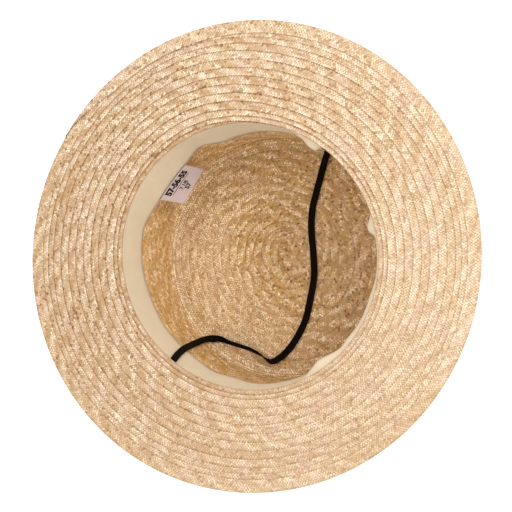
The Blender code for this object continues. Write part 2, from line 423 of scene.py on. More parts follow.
@dataclass(frozen=True)
class Section:
    """Half section of one straw piece, along the middle of its thickness.

    A point is given by its distance along the section, its angle round the hat and its lift off the
    middle towards the inner face. Each column is read between its knots in a straight line. The wave
    grows with the square of the distance, and the shift moves the start of the section sideways.
    """

    distance: Array
    half_width: Array
    half_length: Array
    height: Array
    normal_out: Array
    normal_up: Array
    wave: float = 0.0
    shift: tuple[float, float] = (0.0, 0.0)
    shift_reach: float = 1.0

    @property
    def length(self) -> float:
        """Distance from the first knot to the last."""
        return float(self.distance[-1])

    def radius(self, distance: Array) -> Array:
        """Mean radius of the ring at a distance."""
        mean = (self.half_width + self.half_length) / 2
        return np.interp(distance, self.distance, mean)

    def place(self, distance: Array, angle: Array, lift: Array) -> Array:
        """Points of the section carried round the hat.

        Args:
            distance: distance along the section.
            angle: angle round the hat, anticlockwise from +X.
            lift: height over the middle, towards the inner face.

        Returns:
            Points with half width times cosine as x and half length times sine as y, moved by the lift
            along the normal, then by the shift and the wave.
        """
        cos, sin = np.cos(angle), np.sin(angle)
        out = np.interp(distance, self.distance, self.normal_out) * lift
        up = np.interp(distance, self.distance, self.normal_up) * lift
        drift = np.clip(1.0 - distance / self.shift_reach, 0.0, 1.0) ** 2
        x = (np.interp(distance, self.distance, self.half_width) + out) * cos + self.shift[0] * drift
        y = (np.interp(distance, self.distance, self.half_length) + out) * sin + self.shift[1] * drift
        wave = self.wave * (distance / self.length) ** 2 * np.cos(2.0 * angle)
        z = np.interp(distance, self.distance, self.height) + up + wave
        return np.stack([x, y, z], axis=-1)


@dataclass(frozen=True)
class Spiral:
    """Route of the plait over a section: rows that step in by one each turn, clockwise seen from above.

    A place on the route is its winding count from the outer end. The count's fraction decides the angle,
    and the step to the next row is taken inside one window of the turn, given by its start and breadth.
    """

    section: Section
    edges: Array
    start_deg: float = 96.0
    window: tuple[float, float] = (0.078, 0.139)
    first_window: tuple[float, float] = (0.0, 0.055)

    @property
    def turns(self) -> float:
        """Winding count at which the last row has passed its end."""
        return len(self.edges) + self.window[0] + self.window[1]

    def angle(self, count: Array) -> Array:
        """Angle round the hat at a winding count."""
        return math.radians(self.start_deg) - FULL_TURN * count

    def row(self, count: Array) -> Array:
        """Row number at a winding count, -1 before the outermost row."""
        turn = np.floor(count)
        part = count - turn
        later = turn - 1.0 + ease((part - self.window[0]) / self.window[1])
        first = -1.0 + ease((part - self.first_window[0]) / self.first_window[1])
        return np.where(turn < 0.5, np.where(turn < -0.5, -1.0, first), later)

    def edge(self, count: Array) -> Array:
        """Distance along the section of the row's lip at a winding count."""
        pitch = self.edges[-2] - self.edges[-1]
        knots = np.concatenate([[self.section.length], self.edges, [self.edges[-1] - pitch]])
        return np.interp(self.row(count), np.arange(-1, len(self.edges) + 1), knots)


@dataclass(frozen=True)
class Sweep:
    """Slow change of one quality of the straw round the hat, with its own size at the section's start."""

    size: float
    towards_deg: float
    middle: float = 0.0
    reach: float = 0.0001

    def amount(self, angle: Array, distance: Array) -> Array:
        """Size times the cosine of the angle off its side, faded to the middle's size within the reach."""
        share = np.clip(distance / self.reach, 0.0, 1.0)
        round_hat = self.size * np.cos(angle - math.radians(self.towards_deg))
        return round_hat * share + self.middle * (1.0 - share)


@dataclass(frozen=True)
class Spread:
    """How far single straws stray from the plait's even pattern, and how the pattern drifts along it.

    The first four are for their shape. The drift changes over runs of so many stitches, and the wave of
    tones along the plait is sharpened by a hyperbolic tangent. A few straws are brighter than the rest.
    """

    lean: float = 0.06
    length: float = 0.05
    breadth: float = 0.04
    lift: float = 0.00005
    run_stitches: float = 22.0
    phase: float = 0.35
    weakest: float = 0.55
    level: float = 0.15
    column_phase: float = 1.6
    sharpness: float = 1.6
    wave_tone: float = 0.30
    wave_shade: float = 0.04
    bright_share: float = 0.08
    bright: float = 1.13
    shade_range: tuple[float, float] = (0.45, 1.3)
    strongest_fade: float = 1.15
    fibre_seeds: float = 100.0


@dataclass(frozen=True)
class ShownStraws:
    """The straws that show on one face, one entry a straw in each array.

    Each has its winding count, its stitch number, its column and the distance of its middle. The row that
    covers it has its lip at the distance before, or on the outer face its far edge at the distance after.
    """

    face: Face
    count: Array
    number: Array
    column: Array
    centre: Array
    before: Array
    after: Array


PATCH_KNOTS = np.array([-1.0, 0.0, 1.0])
PATCH_ALONG = np.repeat(PATCH_KNOTS, len(PATCH_KNOTS))[None, :]
PATCH_ACROSS = np.tile(PATCH_KNOTS, len(PATCH_KNOTS))[None, :]


@dataclass
class Plait:
    """The sewn plait over one section: a core strip along the route and the straws that show on each face.

    The strip is a flat slab, tilted so that its lip rides over the next row on the inner face and its
    other edge rides over the row before on the outer face. A straw is an arched flat strip between two
    crossings of the plait. It leans one way in one column and the other way in the next, as in a herringbone.
    """

    spiral: Spiral
    seed: int
    # Sweeps round the hat: the paler one moves the tone, partly the straw's own tone and partly painted
    # light; the next one paints light on one side and shade on the other; the calmer one evens the straws out
    paler: Sweep
    painted_light: Sweep
    calmer: Sweep
    spread: Spread = Spread()
    # Slab and its lie
    width: float = 0.0087
    slab: float = 0.0008
    rise: float = 0.00115
    overlap_lift: float = 0.0006
    # Pattern and shape of the straws
    columns: int = 6
    stitch: float = 0.00195
    fill: float = 0.98
    lean_deg: float = 50.0
    overhang: float = 0.00040
    hidden_reach: float = 0.0014
    least_radius: float = 0.0025
    least_distance: float = 0.0003
    tooth: float = 0.00030
    arch: float = 0.00026
    dip: float = 0.00010
    edge_drop: float = 0.00016
    lip_height: float = 0.00014
    # Painted shade: dark lines beside the covering row, at the rim and in the lip's notches
    groove: float = 0.50
    groove_swing: float = 0.12
    groove_deg: float = 18.0
    groove_width: float = 0.0013
    groove_chance: float = 0.45
    deepest_groove: float = 0.9
    faded: float = 0.25
    fade_stitches: float = 45.0
    opening_groove: float = 0.0
    opening_spread: float = 0.0
    opening_reach: float = 0.008
    notch_shade: float = 0.35
    rim_shade: float = 0.0
    rim_reach: float = 0.0005
    # Tones and shades of the straws
    level: float = 1.0
    tone_chance: float = 0.26
    shade_chance: float = 0.10
    dark_share: float = 0.10
    dark: float = 0.70
    contrast: float = 1.4
    straws_a_repeat: int = 10
    fibre_run: tuple[float, float] = (0.5, 1.3)
    # Steps along the route, and the core's tone, shade and fibre: the core is painted darker than the straws,
    # as painted shade in the gaps between them
    route_steps: int = 4000
    core_steps: int = 98
    core_tone: float = 0.25
    core_shade: float = 0.74
    core_fibre: float = 900.0

    def extra_lift(self, count: Array) -> Array:
        """Lift of the outermost turn where the next one still lies right under it."""
        spacing = np.clip(self.spiral.row(count + 1.0) - self.spiral.row(count), 0.0, 1.0)
        return self.overlap_lift * (1.0 - spacing)

    def slab_lift(self, count: Array, distance: Array) -> Array:
        """Lift of the slab's middle: a straight fall from its lip to its other edge."""
        share = (distance - self.spiral.edge(count)) / self.width
        return self.rise * (0.5 - share) + self.extra_lift(count)

    def build_core(self, name: str, finish: bpy.types.Material) -> bpy.types.Object:
        """Builds the slab: a rectangle with soft corners carried along the route.

        Args:
            name: name of the piece.
            finish: its material.

        Returns:
            The core's object.
        """
        spiral = self.spiral
        count = np.linspace(0.0, spiral.turns, int(self.core_steps * spiral.turns))[:, None]
        # Two points on the lip, four on the inner face, two on the far edge and four on the outer face
        run = np.array([0.06, 0.35, 0.65, 0.94])
        across = np.concatenate([[0.0, 0.0], run, [1.0, 1.0], run[::-1]])[None, :]
        side = np.repeat([-0.6, 0.6, 1.0, 0.6, -0.6, -1.0], [1, 1, 4, 1, 1, 4])[None, :]
        distance = spiral.edge(count) + across * self.width
        lift = self.slab_lift(count, distance) + side * self.slab / 2
        held = np.clip(distance, 0.0, spiral.section.length)
        points = spiral.section.place(held, spiral.angle(count), lift)
        faces = grid_faces(points.shape[0], points.shape[1], close_columns=True)
        flat = points.reshape(-1, 3)
        zeros = np.zeros(len(flat))
        values = {
            "tone": zeros + self.core_tone,
            "shade": zeros + self.core_shade,
            "gap": zeros + 1.0,
            "groove": zeros,
            "fibre": np.column_stack([zeros, flat[:, :2].sum(axis=1), flat[:, 2]]) * self.core_fibre,
        }
        return make_mesh(name, flat, faces[:, ::-1], finish, values)

    def stitches(self) -> tuple[Array, Array]:
        """Winding counts of the stitches, at even steps along the route, and their numbers."""
        spiral = self.spiral
        fine = np.linspace(0.0, spiral.turns, self.route_steps)
        middle = np.clip(spiral.edge(fine) + self.width / 3, 0.0, spiral.section.length)
        run = path_run(spiral.section.place(middle, spiral.angle(fine), np.zeros(len(fine))))
        places = np.arange(0.0, run[-1], self.stitch)
        return np.interp(places, run, fine), np.arange(len(places))

    def shown_straws(self, face: Face) -> ShownStraws:
        """Lays a straw at each stitch of each column and keeps those that no other row covers.

        Args:
            face: which face of the straw.

        Returns:
            The straws that show there; every second column is half a stitch further on.
        """
        spiral = self.spiral
        count, number = self.stitches()
        column = np.repeat(np.arange(self.columns), len(count))
        number = np.tile(number, self.columns)
        count = np.interp(number + 0.5 * (column % 2), np.arange(len(count)), count)
        centre = spiral.edge(count) + (column + 0.5) * self.width / self.columns
        before = np.where(count >= 1.0, spiral.edge(np.maximum(count - 1.0, 0.0)), np.inf)
        after = spiral.edge(count + 1.0) + self.width
        if face is Face.INNER:
            buried = centre > before + self.hidden_reach
        else:
            buried = centre < after - self.hidden_reach
        shown = ~buried & (centre > 0.0) & (centre < spiral.section.length)
        return ShownStraws(face, *(each[shown] for each in (count, number, column, centre, before, after)))

    def straw_points(self, straws: ShownStraws, rng: np.random.Generator) -> tuple[Array, Array, Array]:
        """Works out one small patch for each straw, nine points on a square of three by three.

        Args:
            straws: the straws that show on one face.
            rng: seeded source of chance.

        Returns:
            The points, each point's distance along the section, and whether it is at the row's lip. A point's
            height is a flat-topped arch along the straw less a drop at its two sides.
        """
        spiral, face, column = self.spiral, straws.face, straws.column
        total = len(column)
        lean = math.radians(self.lean_deg) + rng.normal(0.0, self.spread.lean, total)
        sign = np.where(column % 2 == 0, 1.0, -1.0)[:, None]
        half_long = 0.5 * self.width / self.columns / np.sin(lean) + self.overhang
        half_long = (half_long * (1.0 + rng.normal(0.0, self.spread.length, total)))[:, None]
        fill = self.fill + rng.normal(0.0, self.spread.breadth, total)
        half_wide = (0.5 * self.stitch * np.sin(lean) * fill)[:, None]
        cos, sin = np.cos(lean)[:, None], np.sin(lean)[:, None] * sign
        forward = PATCH_ALONG * half_long * cos - PATCH_ACROSS * half_wide * sin
        outward = PATCH_ALONG * half_long * sin + PATCH_ACROSS * half_wide * cos
        count, centre = straws.count[:, None], straws.centre[:, None]
        lip = spiral.edge(count)
        distance = np.clip(centre + outward, lip - self.tooth, lip + self.width + self.tooth)
        radius = np.maximum(spiral.section.radius(np.clip(centre, 0.0, None)), self.least_radius)
        lip_column = 0 if face is Face.INNER else self.columns - 1
        at_lip = (column == lip_column)[:, None] & (-face.value * PATCH_ALONG * sign > 0.5)
        ends = np.where(at_lip, self.lip_height, -self.dip)
        height = np.where(PATCH_ALONG == 0.0, self.arch, ends) - np.abs(PATCH_ACROSS) * self.edge_drop
        roll = rng.normal(0.0, self.spread.lift, total)[:, None] * PATCH_ACROSS
        roll = roll + rng.normal(0.0, self.spread.lift, total)[:, None]
        lift = self.slab_lift(count, distance) + face.value * (self.slab / 2 + height + roll)
        held = np.maximum(distance, self.least_distance)
        points = spiral.section.place(held, spiral.angle(count) - forward / radius, lift)
        return points.reshape(-1, 3), distance, at_lip

    def straw_tones(self, straws: ShownStraws, rng: np.random.Generator) -> tuple[Array, Array]:
        """Tone and shade of each straw.

        Args:
            straws: the straws that show on one face.
            rng: seeded source of chance.

        Returns:
            Tone, from 0 golden to 1 cream, and shade, a factor on the brightness. The same straws come back
            every few stitches, so the tone is a wave of that period whose phase and strength wander slowly.
            Both are then drawn towards their middle by the calmer sweep. The paler sweep moves the tone,
            partly as the straw's own tone and partly as painted light, and the brightness sweep paints light
            on one side of the hat and shade on the other.
        """
        spread, total = self.spread, len(straws.number)
        place = straws.number / spread.run_stitches
        knots = np.arange(int(straws.number.max() / spread.run_stitches) + 3)
        wander = np.interp(place, knots, np.cumsum(rng.normal(0.0, spread.phase, len(knots))))
        strength = np.interp(place, knots, rng.uniform(spread.weakest, 1.0, len(knots)))
        level = np.interp(place, knots, rng.normal(0.0, spread.level, len(knots)))
        repeat = (straws.number + spread.column_phase * straws.column) / self.straws_a_repeat
        wave = np.tanh(spread.sharpness * np.sin(FULL_TURN * repeat + wander)) * strength
        tone = 0.5 + self.contrast * spread.wave_tone * wave + level
        tone = tone + rng.normal(0.0, self.tone_chance, total)
        shade = 1.0 + rng.normal(0.0, self.shade_chance, total) + spread.wave_shade * wave
        dark = rng.random(total) < self.dark_share
        bright = rng.random(total) < spread.bright_share
        shade = shade * np.where(dark, self.dark, np.where(bright, spread.bright, 1.0))
        tone, shade = np.clip(tone, 0.0, 1.0), np.clip(shade, *spread.shade_range)
        way = self.spiral.angle(straws.count)
        calm = 1.0 - self.calmer.amount(way, straws.centre)
        tone = np.clip(0.5 + (tone - 0.5) * calm + self.paler.amount(way, straws.centre), 0.0, 1.0)
        light = 1.0 + self.painted_light.amount(way, straws.centre)
        return tone, self.level * (1.0 + (shade - 1.0) * calm) * light

    def grooves(self, straws: ShownStraws, rng: np.random.Generator) -> tuple[Array, Array]:
        """Depth and breadth of the painted shade line beside the covering row, one of each a straw.

        Args:
            straws: the straws that show on one face.
            rng: seeded source of chance.

        Returns:
            The depth swings round the hat and fades in and out along the route, and both grow by an
            exponential towards the opening.
        """
        swing = np.cos(self.spiral.angle(straws.count) - math.radians(self.groove_deg))
        chance = 1.0 + self.groove_chance * rng.normal(0.0, 1.0, len(straws.count))
        near = np.exp(-np.maximum(straws.centre, 0.0) / self.opening_reach)
        knots = np.arange(int(straws.number.max() / self.fade_stitches) + 3)
        strengths = rng.uniform(self.faded, self.spread.strongest_fade, len(knots))
        fade = np.interp(straws.number / self.fade_stitches, knots, strengths)
        depth = (self.groove + self.groove_swing * swing) * chance * fade + self.opening_groove * near
        breadth = self.groove_width * (1.0 + self.opening_spread * near)
        return np.clip(depth, 0.0, self.deepest_groove), breadth

    def build_straws(self, name: str, face: Face, finish: bpy.types.Material) -> bpy.types.Object:
        """Builds the straws that show on one face.

        Args:
            name: name of the piece.
            face: which face of the straw.
            finish: their material.

        Returns:
            One object with a small arched patch for each straw.
        """
        rng = np.random.default_rng(self.seed + int(face is Face.OUTER))
        straws = self.shown_straws(face)
        total, size = len(straws.count), PATCH_ALONG.size
        points, distance, at_lip = self.straw_points(straws, rng)
        cell = grid_faces(len(PATCH_KNOTS), len(PATCH_KNOTS))
        faces = (cell[None] + (np.arange(total) * size)[:, None, None]).reshape(-1, 4)
        if face is Face.OUTER:
            faces = faces[:, ::-1]
        tone, shade = self.straw_tones(straws, rng)
        seed = (rng.random(total) * self.spread.fibre_seeds)[:, None]
        along, across = (run * grid for run, grid in zip(self.fibre_run, (PATCH_ALONG, PATCH_ACROSS)))
        fibre = np.stack(np.broadcast_arrays(along + seed, across + seed, 0.0), axis=-1)
        depth, breadth = self.grooves(straws, rng)
        if face is Face.INNER:
            cover = straws.before[:, None] - distance
        else:
            cover = distance - straws.after[:, None]
        # Painted shade: a thin dark line along both ends of the section, at the brim's outer rim and at its
        # opening
        rim = np.minimum(distance, self.spiral.section.length - distance)
        painted_shade = 1.0 - self.rim_shade * np.exp(-np.maximum(rim, 0.0) / self.rim_reach)
        # Painted shade: dark spots at the lip-end corners of every second straw, in the gaps between straws
        notched = at_lip & (PATCH_ACROSS != 0.0) & (straws.number % 2 == 0)[:, None]
        painted_shade = np.where(notched, painted_shade * (1.0 - self.notch_shade), painted_shade)
        values = {
            "tone": np.repeat(tone, size),
            "shade": (shade[:, None] * painted_shade).ravel(),
            "gap": np.minimum(cover / breadth[:, None], 2.0).ravel(),
            "groove": np.repeat(depth, size),
            "fibre": fibre.reshape(-1, 3),
        }
        return make_mesh(name, points, faces, finish, values)


@dataclass
class StrawPiece:
    """One straw piece of the hat: its plait's core and the straws on its two faces."""

    node: str = ""
    form: HatForm = HatForm()
    plait: Plait | None = None

    def build(self, finish: bpy.types.Material) -> list[bpy.types.Object]:
        """Builds the three meshes and puts them in the node's place.

        Args:
            finish: material of the straw.

        Returns:
            The core, the straws on the inner face and those on the outer face.
        """
        made = [
            self.plait.build_core(f"{self.node}_core", finish),
            self.plait.build_straws(f"{self.node}_inner_straws", Face.INNER, finish),
            self.plait.build_straws(f"{self.node}_outer_straws", Face.OUTER, finish),
        ]
        for obj in made:
            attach(obj, "root")
            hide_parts(self.node)
        return made


@dataclass
class Brim(StrawPiece):
    """Flat brim between the head opening and the outer edge."""

    node: str = "brim"
    row_shares: tuple[float, ...] = (
        0.126, 0.056, 0.058, 0.082, 0.083, 0.083, 0.083, 0.083, 0.082, 0.082, 0.084, 0.045, 0.056,
    )

    def __post_init__(self) -> None:
        """Sets the plait's route: rows from the outer edge in, by their shares of the brim's breadth."""
        form = self.form
        breadth = (form.brim_width + form.brim_length - form.opening_width - form.opening_length) / 4
        ends = np.ones(2)
        section = Section(
            distance=np.array([0.0, breadth]),
            half_width=np.array([form.opening_width, form.brim_width]) / 2,
            half_length=np.array([form.opening_length, form.brim_length]) / 2,
            height=ends * (form.crown_height + form.middle),
            normal_out=ends * 0.0,
            normal_up=ends,
            wave=form.brim_wave,
        )
        shares = np.array(self.row_shares)
        edges = breadth * (1.0 - np.cumsum(shares) / shares.sum())
        # The sweeps paint the brim paler and brighter towards the key light's side: painted light, the paler
        # one partly the straw's own tone
        self.plait = Plait(
            Spiral(section, edges), seed=11, paler=Sweep(0.08, -15.0), painted_light=Sweep(0.036, -65.0),
            calmer=Sweep(0.32, -88.0), contrast=1.00, tone_chance=0.11, shade_chance=0.07, groove=0.38,
            groove_swing=0.20, groove_deg=45.0, opening_groove=0.55, opening_spread=1.6, rim_shade=0.34,
        )


@dataclass
class CrownSide(StrawPiece):
    """Upright wall of the crown."""

    node: str = "crown_side"

    def __post_init__(self) -> None:
        """Sets the plait's route: even rows from the brim down to the tip's corner."""
        form = self.form
        low, high = form.corner_radius + form.seat_gap, form.crown_height - form.seat_gap
        heights = np.array([low, high])
        offsets = form.wall_offset(heights) + form.middle
        length = float(np.hypot(high - low, offsets[1] - offsets[0]))
        section = Section(
            distance=np.array([0.0, length]),
            half_width=form.opening_width / 2 + offsets,
            half_length=form.opening_length / 2 + offsets,
            height=heights,
            normal_out=-np.ones(2),
            normal_up=np.zeros(2),
        )
        # The sweeps paint the wall brighter on the side in the key light's shadow and more golden on the lit
        # side: painted light and painted shade, the paler one partly the straw's own tone
        self.plait = Plait(
            Spiral(section, even_lips(length, form.row_pitch)), seed=23, paler=Sweep(0.20, -52.0),
            painted_light=Sweep(0.12, 60.0), calmer=Sweep(0.10, 70.0),
        )


@dataclass
class CrownTip(StrawPiece):
    """Flat crown top with its rounded rim: the spiral's middle lies a little off the hat's axis."""

    node: str = "crown_tip"
    centre: tuple[float, float] = (0.0057, 0.0033)
    corner_steps: int = 8
    sweep_reach: float = 0.05

    def __post_init__(self) -> None:
        """Sets the plait's route: an even spiral from the rim in to the middle of the tip."""
        form = self.form
        flat = form.wall_offset(form.corner_radius) + form.straw_thickness - form.corner_radius
        radius = form.opening_radius + flat
        reach = form.wall_offset(form.corner_radius) + form.middle - flat
        drop = form.corner_radius - form.middle
        turn = np.linspace(0.0, math.pi / 2, self.corner_steps + 1)
        offsets = flat + reach * np.sin(turn)
        heights = form.corner_radius - drop * np.cos(turn)
        along = path_run(np.stack([offsets, heights], axis=-1))
        section = Section(
            distance=np.concatenate([[0.0], radius + along]),
            half_width=np.concatenate([[0.0], form.opening_width / 2 + offsets]),
            half_length=np.concatenate([[0.0], form.opening_length / 2 + offsets]),
            height=np.concatenate([[form.middle], heights]),
            normal_out=np.concatenate([[0.0], -np.sin(turn)]),
            normal_up=np.concatenate([[1.0], np.cos(turn)]),
            shift=self.centre,
            shift_reach=radius,
        )
        edges = even_lips(section.length, form.row_pitch)
        # The sweeps paint the tip paler and brighter on the side the key light reaches, and darker and more
        # golden in its middle: painted light and painted shade, the paler one partly the straw's own tone
        self.plait = Plait(
            Spiral(section, edges, window=(0.0, 1.0), first_window=(0.0, 1.0)), seed=37,
            paler=Sweep(0.32, 160.0, -0.50, self.sweep_reach),
            painted_light=Sweep(0.09, 110.0, -0.19, self.sweep_reach),
            calmer=Sweep(0.30, 150.0, -0.36, self.sweep_reach), groove=0.48, groove_swing=0.28,
            groove_deg=-40.0, groove_width=0.0022, dark=0.64, level=1.05,
        )


@dataclass
class Sweatband:
    """Cloth band inside the opening, sewn under the brim's innermost row, with a wavy free edge.

    The edge's rows give an angle in degrees and, as shares, the band's depth and its lean off the wall. The
    roll's rows give an angle and how far the band bulges inwards just under the brim.
    """

    form: HatForm = HatForm()
    height: float = 0.0340
    thickness: float = 0.0012
    lean: float = 0.0050
    lean_exponent: float = 1.5
    edge: tuple[tuple[float, float, float], ...] = (
        (0, 1.00, 0.10), (20, 1.03, 0.10), (35, 1.00, 0.30), (48, 1.02, 0.60), (58, 1.03, 0.90),
        (68, 0.88, 0.20), (75, 1.00, 0.48), (79, 1.00, 0.86), (90, 1.00, 1.02), (100, 1.00, 0.90),
        (107, 1.00, 0.48), (115, 0.93, 0.05), (128, 0.95, 0.05), (150, 1.03, 0.10), (165, 1.02, 0.10),
        (182, 1.02, 0.30), (195, 0.99, 0.05), (202, 1.04, 0.35), (214, 1.02, 0.10), (232, 1.02, 0.50),
        (248, 1.00, 1.00), (258, 1.00, 0.60), (275, 1.00, 0.20), (300, 0.98, 0.10), (330, 1.02, 0.15),
    )
    roll_width: float = 0.0052
    roll_depth: float = 0.0045
    roll_reach: float = 0.0038
    roll_smoothing_deg: float = 1.0
    roll: tuple[tuple[float, float], ...] = (
        (3.2, 0.0), (4.4, 1.30), (8.5, 1.35), (12.5, 0.80), (18, 0.35), (24, 0.0), (235, 0.05), (241, 0.40),
        (246, 1.00), (250.5, 1.60), (254, 1.62), (258, 1.35), (263.5, 0.98), (269, 1.17), (278, 1.02),
        (292, 1.05), (300, 0.80), (317.5, 0.76), (320, 1.60), (322.5, 1.57), (330, 0.0),
    )
    seam_depth: float = 0.00025
    seam_deg: float = 91.0
    seam_breadth_deg: float = 0.35
    steps_round: int = 400
    steps_down: int = 12
    crowding: float = 1.5
    edge_round: float = 0.25
    smoothing_deg: float = 3.0
    smoothing_steps: int = 7

    def around(self, rows: tuple[tuple[float, ...], ...], column: int, angles: Array,
               reach_deg: float) -> Array:
        """Reads a column of a table round the hat.

        Args:
            rows: the table, each row with its angle in degrees first.
            column: which of its columns.
            angles: angles round the hat.
            reach_deg: how far to either side the readings are averaged.

        Returns:
            The column between its rows in straight lines, as the mean of even readings within the reach.
        """
        table = np.array(rows)
        spread = np.linspace(-reach_deg, reach_deg, self.smoothing_steps)
        readings = np.degrees(angles)[..., None] + spread
        return np.interp(readings % 360.0, table[:, 0], table[:, column], period=360.0).mean(axis=-1)

    def face_offset(self, angles: Array, depth: Array) -> Array:
        """Offset of the band's wall side from the opening, less its lean and its roll.

        Args:
            angles: angles round the hat.
            depth: depth under the brim.

        Returns:
            The wall's offset less a lean by a power of the depth and less a bell-shaped roll at one depth.
        """
        share = np.clip(depth / self.height, 0.0, None)
        lean = self.lean * self.around(self.edge, 2, angles, self.smoothing_deg) * share ** self.lean_exponent
        strength = self.around(self.roll, 1, angles, self.roll_smoothing_deg)
        rolled = self.roll_width * strength * np.exp(-((depth - self.roll_depth) / self.roll_reach) ** 2)
        return self.form.wall_offset(self.form.crown_height - depth) - self.form.seat_gap - lean - rolled

    def build(self, finish: bpy.types.Material) -> bpy.types.Object:
        """Builds the band: its section, two faces with rounded edges, carried round the hat.

        Args:
            finish: material of the band.

        Returns:
            The band's object. A bell-shaped groove across its inner face is its seam.
        """
        angles = np.linspace(0.0, FULL_TURN, self.steps_round, endpoint=False)[:, None]
        down = np.linspace(0.0, 1.0, self.steps_down) ** self.crowding
        share = np.concatenate([down, down[::-1]])[None, :]
        side = np.concatenate([np.zeros(self.steps_down), np.ones(self.steps_down)])
        side[[0, self.steps_down - 1]] = self.edge_round
        side[[self.steps_down, -1]] = 1.0 - self.edge_round
        top = self.form.seat_gap
        depth = top + (self.height * self.around(self.edge, 1, angles, self.smoothing_deg) - top) * share
        from_seam = (np.degrees(angles) - self.seam_deg) / self.seam_breadth_deg
        seam = self.seam_depth * np.exp(-from_seam ** 2)
        offset = self.face_offset(angles, depth) - side[None, :] * self.thickness + seam * side[None, :]
        points = self.form.oval(offset, self.form.crown_height - depth, angles)
        faces = grid_faces(points.shape[0], points.shape[1], close_rows=True, close_columns=True)
        uv = np.stack(np.broadcast_arrays(angles * self.form.opening_radius, depth), axis=-1)
        obj = make_mesh("sweatband_cloth", points.reshape(-1, 3), faces, finish, uv=uv.reshape(-1, 2))
        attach(obj, "root")
        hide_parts("sweatband")
        return obj


@dataclass
class Label:
    """Woven panel sewn to the sweatband at the back by its upper edge, with plain size numbers on it.

    Each of its lines is a text, its size, its distance from the sewn edge and the weight added to it.
    """

    band: Sweatband
    length: float = 0.0322
    height: float = 0.0190
    thickness: float = 0.0008
    top_depth: float = 0.0320
    middle_deg: float = 89.6
    tilt_start_deg: float = 21.0
    tilt_end_deg: float = 44.0
    slant_deg: float = 15.0
    curl: float = 0.0004
    curl_round: float = 5.0
    steps_along: int = 48
    steps_down: int = 26
    print_lift: float = 0.00006
    lines: tuple[tuple[str, float, float, float], ...] = (
        ("57-56-55", 0.0064, 0.0056, 0.00042), ("________", 0.0052, 0.0066, 0.00010),
        ("7 1/8", 0.0040, 0.0114, 0.00016), ("57", 0.0050, 0.0156, 0.00022),
    )

    def place(self, along: Array, down: Array, lift: Array) -> Array:
        """Points of the label.

        Args:
            along: place along the label, from -0.5 to 0.5 round the hat.
            down: distance from the sewn edge.
            lift: height over the label's back face.

        Returns:
            Points on a panel that leaves the band at the tilt of that place. Its curl grows with the square
            of the distance and falls off by a cosine towards both ends.
        """
        form = self.band.form
        middle, slant = np.radians(self.middle_deg), math.radians(self.slant_deg)
        radius = form.opening_radius + self.band.face_offset(middle, np.float64(self.top_depth))
        angles = middle + along * self.length / radius
        tilt_gain = self.tilt_end_deg - self.tilt_start_deg
        tilt = np.radians(self.tilt_start_deg + tilt_gain * (along + 0.5))
        start = self.band.face_offset(angles, self.top_depth) - self.band.thickness - form.seat_gap
        fall = down * math.cos(slant)
        off = lift + self.curl * (down / self.height) ** 2 * np.cos(along * self.curl_round)
        offset = start - fall * np.sin(tilt) - off * np.cos(tilt)
        height = form.crown_height - self.top_depth - fall * np.cos(tilt) + off * np.sin(tilt)
        return form.oval(offset, height, angles - down * math.sin(slant) / radius)

    def build(self, cloth: bpy.types.Material, ink: bpy.types.Material) -> list[bpy.types.Object]:
        """Builds the panel and its numbers: two faces of one grid, closed at both ends by a ridge.

        Args:
            cloth: material of the panel.
            ink: material of the numbers.

        Returns:
            The panel's object and the numbers' object.
        """
        along = np.linspace(-0.5, 0.5, self.steps_along)
        down = np.linspace(0.0, self.height, self.steps_down)
        share = np.concatenate([along, along[::-1]])
        side = np.concatenate([np.zeros(self.steps_along), np.ones(self.steps_along)])
        grid_down = np.broadcast_to(down[:, None], (self.steps_down, len(share)))
        grid_along = np.broadcast_to(share[None, :], grid_down.shape)
        body = self.place(grid_along, grid_down, side[None, :] * self.thickness)
        caps = [self.place(along, np.full(len(along), end), np.full(len(along), self.thickness / 2))
                for end in (0.0, self.height)]
        points = np.concatenate([body.reshape(-1, 3)] + caps)
        rows, columns = grid_down.shape
        faces = [grid_faces(rows, columns, close_columns=True)]
        for end, base in ((0, rows * columns), (rows - 1, rows * columns + self.steps_along)):
            k = np.arange(self.steps_along - 1)
            near = end * columns + k
            far = end * columns + columns - 1 - k
            ridge = base + k
            first = np.stack([near, near + 1, ridge + 1, ridge], axis=-1)
            second = np.stack([ridge, ridge + 1, far - 1, far], axis=-1)
            both = np.concatenate([first, second])
            faces.append(both if end == 0 else both[:, ::-1])
        uv_along = np.concatenate([grid_along.ravel(), along, along]) * self.length
        uv_down = np.concatenate([grid_down.ravel(), np.zeros(len(along)), np.full(len(along), self.height)])
        uv = np.stack([uv_along, uv_down], axis=-1)
        panel = make_mesh("label_panel", points, np.concatenate(faces), cloth, uv=uv)
        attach(panel, "root")
        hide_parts("label")
        numbers = self.build_numbers(ink)
        return [panel, numbers]

    def build_numbers(self, ink: bpy.types.Material) -> bpy.types.Object:
        """Builds the size numbers and their rule: flat text laid on the panel's front face.

        Args:
            ink: material of the numbers.

        Returns:
            The numbers' object: every point of the text goes to its place along and down the panel.
        """
        points, faces, start = [], [], 0
        for text, size, down, weight in self.lines:
            curve = bpy.data.curves.new("numbers", "FONT")
            curve.body = text
            curve.size = size
            curve.align_x = "CENTER"
            curve.offset = weight
            curve.resolution_u = 3
            holder = add_object("numbers", curve)
            mesh = holder.to_mesh()
            flat = np.empty(len(mesh.vertices) * 3, np.float32)
            mesh.vertices.foreach_get("co", flat)
            flat = flat.reshape(-1, 3)
            faces += [[start + corner for corner in polygon.vertices] for polygon in mesh.polygons]
            lift = np.full(len(flat), self.thickness + self.print_lift)
            points.append(self.place(-flat[:, 0] / self.length, down - flat[:, 1], lift))
            start += len(flat)
            holder.to_mesh_clear()
            bpy.data.objects.remove(holder)
            bpy.data.curves.remove(curve)
        mesh = bpy.data.meshes.new("label_numbers")
        mesh.from_pydata(np.concatenate(points).tolist(), [], faces)
        mesh.materials.append(ink)
        obj = add_object("label_numbers", mesh)
        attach(obj, "root")
        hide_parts("label")
        return obj


